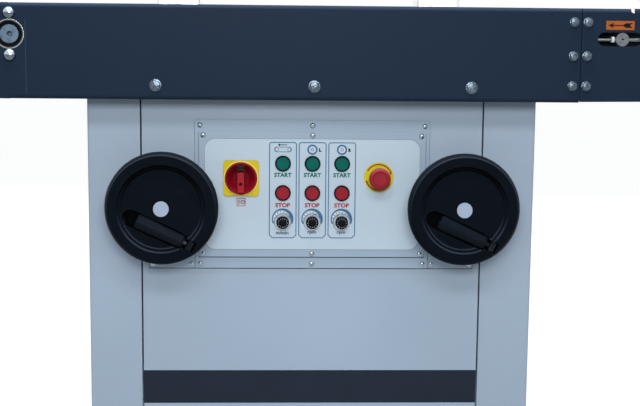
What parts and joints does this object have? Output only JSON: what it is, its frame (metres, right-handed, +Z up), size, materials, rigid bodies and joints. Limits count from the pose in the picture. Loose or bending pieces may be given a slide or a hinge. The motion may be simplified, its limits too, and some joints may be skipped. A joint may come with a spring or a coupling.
{
  "type": "wood brushing machine",
  "caption": "Floor-standing through-feed brushing machine: belt conveyor on a sheet-metal cabinet, handwheel-lifted bristle rollers under hoods, front control panel.",
  "frame": {"origin": "on the floor, under the middle of the machine's box", "axes": "+X along the conveyor towards the infeed end, -Y towards the operator, +Z up"},
  "size_m": [1.224, 0.8435, 1.26],
  "materials": {
    "cabinet_paint": "satin powder coat",
    "rail_paint": "satin powder coat",
    "plate_paint": "satin powder coat",
    "frame_paint": "matt paint",
    "zinc_steel": "bright zinc",
    "ground_steel": "ground",
    "casting": "machined and painted",
    "motor_alloy": "painted casting",
    "belt_rubber": "rough top",
    "black_plastic": "satin moulding",
    "bezel_metal": "satin chrome",
    "green_plastic": "moulded",
    "red_plastic": "moulded",
    "yellow_plastic": "moulded",
    "bristle": "abrasive nylon"
  },
  "bodies": {
    "frame": {"side_panels": "cabinet_paint", "front_panel": "cabinet_paint", "rear_panel": "cabinet_paint", "cable_gland": "black_plastic", "top_plate": "cabinet_paint", "base_frame": "frame_paint", "levelling_feet": "zinc_steel", "front_rail": "rail_paint", "rear_rail": "rail_paint", "infeed_end_plates": "rail_paint", "bed_frame": "frame_paint", "conveyor_belt": "belt_rubber", "drive_bearings": "casting", "tension_screws": "zinc_steel", "feed_gearmotor": "motor_alloy", "rail_bolts": "zinc_steel", "panel_plates": "plate_paint", "switch_panel": "plate_paint", "panel_screws": "zinc_steel", "control_box": "frame_paint", "yellow_backplates": "yellow_plastic", "control_bezels": "bezel_metal", "lift_gearboxes": "casting", "post_guides": "casting"},
    "drive_roller": {"drive_roller": "ground_steel"},
    "belt_tensioner": {"idler_shaft": "ground_steel"},
    "idler_roller": {"idler_roller": "ground_steel"},
    "isolator_knob": {"isolator_knob": "red_plastic"},
    "estop_head": {"estop_head": "red_plastic"},
    "feed_start_button": {"feed_start_button": "green_plastic"},
    "feed_stop_button": {"feed_stop_button": "red_plastic"},
    "feed_speed_knob": {"feed_speed_knob": "black_plastic"},
    "left_brush_start_button": {"left_brush_start_button": "green_plastic"},
    "left_brush_stop_button": {"left_brush_stop_button": "red_plastic"},
    "left_brush_speed_knob": {"left_brush_speed_knob": "black_plastic"},
    "right_brush_start_button": {"right_brush_start_button": "green_plastic"},
    "right_brush_stop_button": {"right_brush_stop_button": "red_plastic"},
    "right_brush_speed_knob": {"right_brush_speed_knob": "black_plastic"},
    "left_handwheel": {"left_handwheel": "black_plastic", "left_handwheel_shaft": "ground_steel"},
    "left_handle": {"left_handle": "zinc_steel"},
    "left_grip": {"left_grip": "black_plastic"},
    "left_lift_screw": {"left_lift_screw": "ground_steel"},
    "left_head": {"left_head_arm": "casting", "left_brush_motor": "motor_alloy", "left_brush_hood": "cabinet_paint"},
    "left_hood_door": {"left_hood_door": "cabinet_paint"},
    "left_brush": {"left_brush_spindle": "ground_steel", "left_brush_roller": "bristle"},
    "right_handwheel": {"right_handwheel": "black_plastic", "right_handwheel_shaft": "ground_steel"},
    "right_handle": {"right_handle": "zinc_steel"},
    "right_grip": {"right_grip": "black_plastic"},
    "right_lift_screw": {"right_lift_screw": "ground_steel"},
    "right_head": {"right_head_arm": "casting", "right_brush_motor": "motor_alloy", "right_brush_hood": "cabinet_paint"},
    "right_hood_door": {"right_hood_door": "cabinet_paint"},
    "right_brush": {"right_brush_spindle": "ground_steel", "right_brush_roller": "bristle"}
  },
  "joints": [
    {"name": "drive_roller_spin", "type": "hinge", "parent": "frame", "child": "drive_roller", "pos_m": [-0.5395, -0.20625, 0.845], "axis": [0, -1, 0], "continuous": true},
    {"name": "belt_tension_slide", "type": "slide", "parent": "frame", "child": "belt_tensioner", "axis": [1, 0, 0], "range_m": [-0.02, 0]},
    {"name": "idler_roller_spin", "type": "hinge", "parent": "belt_tensioner", "child": "idler_roller", "pos_m": [0.5535, -0.20625, 0.845], "axis": [0, -1, 0], "continuous": true},
    {"name": "isolator_turn", "type": "hinge", "parent": "frame", "child": "isolator_knob", "pos_m": [-0.1326, -0.33325, 0.584], "axis": [0, 1, 0], "range_deg": [0, 90]},
    {"name": "estop_press", "type": "slide", "parent": "frame", "child": "estop_head", "axis": [0, 1, 0], "range_m": [0, 0.005]},
    {"name": "feed_start_press", "type": "slide", "parent": "frame", "child": "feed_start_button", "axis": [0, 1, 0], "range_m": [0, 0.003], "stiffness_N_per_m": 400, "springref_m": -0.003},
    {"name": "feed_stop_press", "type": "slide", "parent": "frame", "child": "feed_stop_button", "axis": [0, 1, 0], "range_m": [0, 0.003], "stiffness_N_per_m": 400, "springref_m": -0.003},
    {"name": "feed_speed_turn", "type": "hinge", "parent": "frame", "child": "feed_speed_knob", "pos_m": [-0.055, -0.33825, 0.502], "axis": [0, 1, 0], "range_deg": [0, 270]},
    {"name": "left_brush_start_press", "type": "slide", "parent": "frame", "child": "left_brush_start_button", "axis": [0, 1, 0], "range_m": [0, 0.003], "stiffness_N_per_m": 400, "springref_m": -0.003},
    {"name": "left_brush_stop_press", "type": "slide", "parent": "frame", "child": "left_brush_stop_button", "axis": [0, 1, 0], "range_m": [0, 0.003], "stiffness_N_per_m": 400, "springref_m": -0.003},
    {"name": "left_brush_speed_turn", "type": "hinge", "parent": "frame", "child": "left_brush_speed_knob", "pos_m": [0, -0.33825, 0.502], "axis": [0, 1, 0], "range_deg": [0, 270]},
    {"name": "right_brush_start_press", "type": "slide", "parent": "frame", "child": "right_brush_start_button", "axis": [0, 1, 0], "range_m": [0, 0.003], "stiffness_N_per_m": 400, "springref_m": -0.003},
    {"name": "right_brush_stop_press", "type": "slide", "parent": "frame", "child": "right_brush_stop_button", "axis": [0, 1, 0], "range_m": [0, 0.003], "stiffness_N_per_m": 400, "springref_m": -0.003},
    {"name": "right_brush_speed_turn", "type": "hinge", "parent": "frame", "child": "right_brush_speed_knob", "pos_m": [0.055, -0.33825, 0.502], "axis": [0, 1, 0], "range_deg": [0, 270]},
    {"name": "left_handwheel_turn", "type": "hinge", "parent": "frame", "child": "left_handwheel", "pos_m": [-0.2738, -0.39825, 0.5358], "axis": [0, 1, 0], "range_deg": [-5400, 4950]},
    {"name": "left_handle_fold", "type": "hinge", "parent": "left_handwheel", "child": "left_handle", "pos_m": [-0.22298, -0.40825, 0.47005], "axis": [0.4226, 0, 0.9063], "range_deg": [0, 90]},
    {"name": "left_grip_spin", "type": "hinge", "parent": "left_handle", "child": "left_grip", "pos_m": [-0.22298, -0.40825, 0.47005], "axis": [-0.9063, 0, 0.4226], "continuous": true},
    {"name": "left_lift_screw_turn", "type": "hinge", "parent": "frame", "child": "left_lift_screw", "pos_m": [-0.2738, 0.05675, 0.6], "axis": [0, 0, 1], "range_deg": [-5410, 4960]},
    {"name": "left_head_lift", "type": "slide", "parent": "frame", "child": "left_head", "axis": [0, 0, 1], "range_m": [-0.0552, 0.0602]},
    {"name": "left_brush_spin", "type": "hinge", "parent": "left_head", "child": "left_brush", "pos_m": [-0.2738, -0.20625, 1.063], "axis": [0, 1, 0], "continuous": true},
    {"name": "left_door_swing", "type": "hinge", "parent": "left_head", "child": "left_hood_door", "pos_m": [-0.4013, -0.37805, 1.063], "axis": [0, 0, -1], "range_deg": [0, 110]},
    {"name": "right_handwheel_turn", "type": "hinge", "parent": "frame", "child": "right_handwheel", "pos_m": [0.2738, -0.39825, 0.5358], "axis": [0, 1, 0], "range_deg": [-5400, 4950]},
    {"name": "right_handle_fold", "type": "hinge", "parent": "right_handwheel", "child": "right_handle", "pos_m": [0.32462, -0.40825, 0.47005], "axis": [0.4226, 0, 0.9063], "range_deg": [0, 90]},
    {"name": "right_grip_spin", "type": "hinge", "parent": "right_handle", "child": "right_grip", "pos_m": [0.32462, -0.40825, 0.47005], "axis": [-0.9063, 0, 0.4226], "continuous": true},
    {"name": "right_lift_screw_turn", "type": "hinge", "parent": "frame", "child": "right_lift_screw", "pos_m": [0.2738, 0.05675, 0.6], "axis": [0, 0, 1], "range_deg": [-5410, 4960]},
    {"name": "right_head_lift", "type": "slide", "parent": "frame", "child": "right_head", "axis": [0, 0, 1], "range_m": [-0.0552, 0.0602]},
    {"name": "right_brush_spin", "type": "hinge", "parent": "right_head", "child": "right_brush", "pos_m": [0.2738, -0.20625, 1.063], "axis": [0, 1, 0], "continuous": true},
    {"name": "right_door_swing", "type": "hinge", "parent": "right_head", "child": "right_hood_door", "pos_m": [0.4013, -0.37805, 1.063], "axis": [0, 0, 1], "range_deg": [0, 110]}
  ],
  "couplings": [
    {"joint": "idler_roller_spin", "follows": "drive_roller_spin", "ratio": 1},
    {"joint": "left_lift_screw_turn", "follows": "left_handwheel_turn", "ratio": 1},
    {"joint": "left_head_lift", "follows": "left_handwheel_turn", "m_per_rad": -0.00063662},
    {"joint": "right_lift_screw_turn", "follows": "right_handwheel_turn", "ratio": 1},
    {"joint": "right_head_lift", "follows": "right_handwheel_turn", "m_per_rad": -0.00063662}
  ]
}
